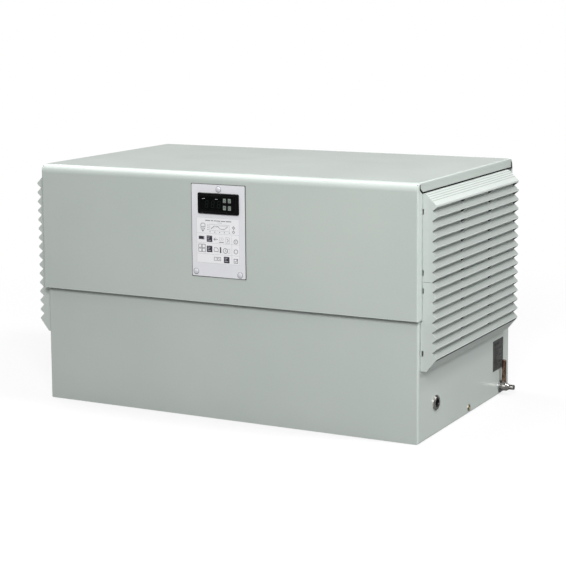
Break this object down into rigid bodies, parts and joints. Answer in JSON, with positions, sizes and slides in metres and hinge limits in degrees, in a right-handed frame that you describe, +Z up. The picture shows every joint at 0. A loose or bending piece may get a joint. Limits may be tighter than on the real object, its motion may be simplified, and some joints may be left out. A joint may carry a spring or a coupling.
{
  "type": "enclosure cooling unit",
  "caption": "Roof-mounted enclosure cooling unit: folded sheet housing under a wide hood, side louvres, a front control plate, a cable gland and a condensate drain nozzle.",
  "frame": {"origin": "on the base plane, under the middle of the whole outline", "axes": "+Z up, +X along the long side to the right seen from the front, the control plate looks along -Y"},
  "size_m": [0.746, 0.4224, 0.41],
  "materials": {
    "grey_green_paint": "fine matt powder coat",
    "grey_green_plastic": "satin moulded",
    "galvanised_sheet": "galvanised",
    "seal_foam": "matt",
    "duct_plastic": "matt",
    "screen_mesh": "woven mesh",
    "white_plate": "satin",
    "controller_black": "gloss",
    "display_glass": "smoked",
    "key_grey": "matt",
    "nickel_plate": "bright",
    "rubber_seal": "matt",
    "label_dark": "satin",
    "steel_flange": "satin",
    "brass_stub": "dull"
  },
  "bodies": {
    "root": {"hood_cover": "grey_green_paint", "front_wall": "grey_green_paint", "right_wall": "grey_green_paint", "left_wall": "grey_green_paint", "rear_panel": "grey_green_paint", "base_plate": "galvanised_sheet", "base_gasket": "seal_foam", "divider_plate": "galvanised_sheet", "inlet_ring": "duct_plastic", "outlet_collar": "galvanised_sheet", "right_upper_louvre": "grey_green_plastic", "right_lower_louvre": "grey_green_plastic", "left_upper_louvre": "grey_green_plastic", "left_lower_louvre": "grey_green_plastic", "right_dust_screen": "screen_mesh", "left_dust_screen": "screen_mesh", "control_plate": "white_plate", "controller_body": "controller_black", "display_window": "display_glass", "controller_keys": "key_grey", "gland_body": "nickel_plate", "gland_seal": "rubber_seal", "gland_locknut": "nickel_plate", "rating_plate": "label_dark", "drain_flange": "steel_flange", "drain_nozzle": "nickel_plate", "drain_standpipe": "brass_stub"}
  },
  "joints": []
}
